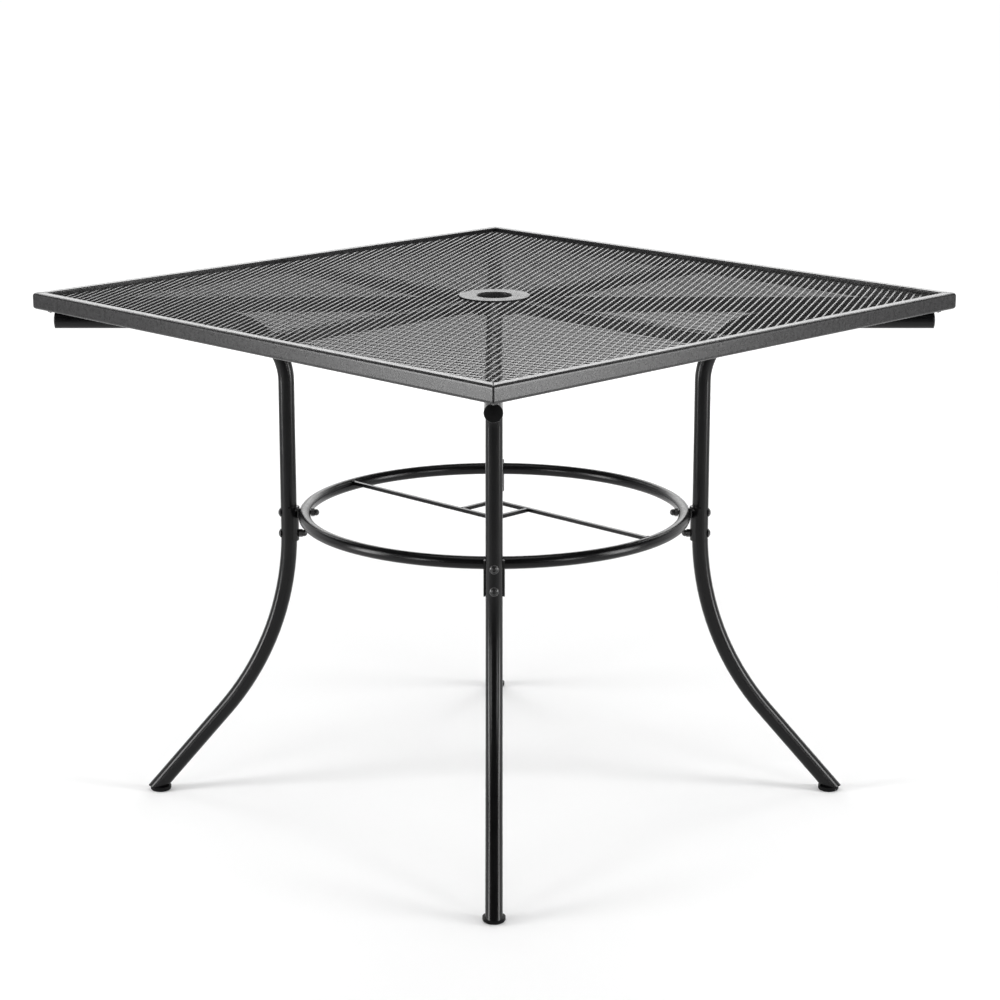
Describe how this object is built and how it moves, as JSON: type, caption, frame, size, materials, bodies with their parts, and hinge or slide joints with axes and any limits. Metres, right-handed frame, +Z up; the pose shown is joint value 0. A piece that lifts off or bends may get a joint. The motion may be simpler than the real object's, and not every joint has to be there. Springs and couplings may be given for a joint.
{
  "type": "garden table",
  "caption": "Square metal garden table with a mesh top, a capped umbrella hole, bent tube legs and a round stretcher that guides the umbrella pole.",
  "frame": {"origin": "on the ground, under the centre of the top", "axes": "+Z up; +X to the right and +Y to the back, both along the sides of the top; the legs stand on the diagonals"},
  "size_m": [0.9, 0.9, 0.724],
  "materials": {
    "rim_paint": "hammered powder coat, dark grey",
    "mesh_paint": "satin powder coat, grey",
    "tube_paint": "satin powder coat, near black",
    "plate_paint": "satin powder coat, light grey",
    "black_plastic": "fine matt grain, black",
    "bolt_steel": "black coated steel"
  },
  "bodies": {
    "root": {"rail_front": "rim_paint", "rail_right": "rim_paint", "rail_back": "rim_paint", "rail_left": "rim_paint", "mesh_panel": "mesh_paint", "brace_front_right": "tube_paint", "brace_back_right": "tube_paint", "brace_back_left": "tube_paint", "brace_front_left": "tube_paint", "cross_bar_front": "tube_paint", "cross_bar_right": "tube_paint", "cross_bar_back": "tube_paint", "cross_bar_left": "tube_paint", "hub_sleeve": "tube_paint", "umbrella_plate": "plate_paint", "leg_front_right": "tube_paint", "leg_back_right": "tube_paint", "leg_back_left": "tube_paint", "leg_front_left": "tube_paint", "arm_cap_front_right": "black_plastic", "arm_cap_back_right": "black_plastic", "arm_cap_back_left": "black_plastic", "arm_cap_front_left": "black_plastic", "glide_front_right": "black_plastic", "glide_back_right": "black_plastic", "glide_back_left": "black_plastic", "glide_front_left": "black_plastic", "ring_stretcher": "tube_paint", "saddle_front_right": "tube_paint", "saddle_back_right": "tube_paint", "saddle_back_left": "tube_paint", "saddle_front_left": "tube_paint", "guide_rod_left": "tube_paint", "guide_rod_right": "tube_paint", "guide_link_left": "tube_paint", "guide_link_right": "tube_paint", "ring_bolts": "bolt_steel", "ring_nuts": "bolt_steel", "saddle_bolts": "bolt_steel", "saddle_nuts": "bolt_steel", "arm_bolts": "bolt_steel", "arm_inserts": "bolt_steel"}
  },
  "joints": []
}
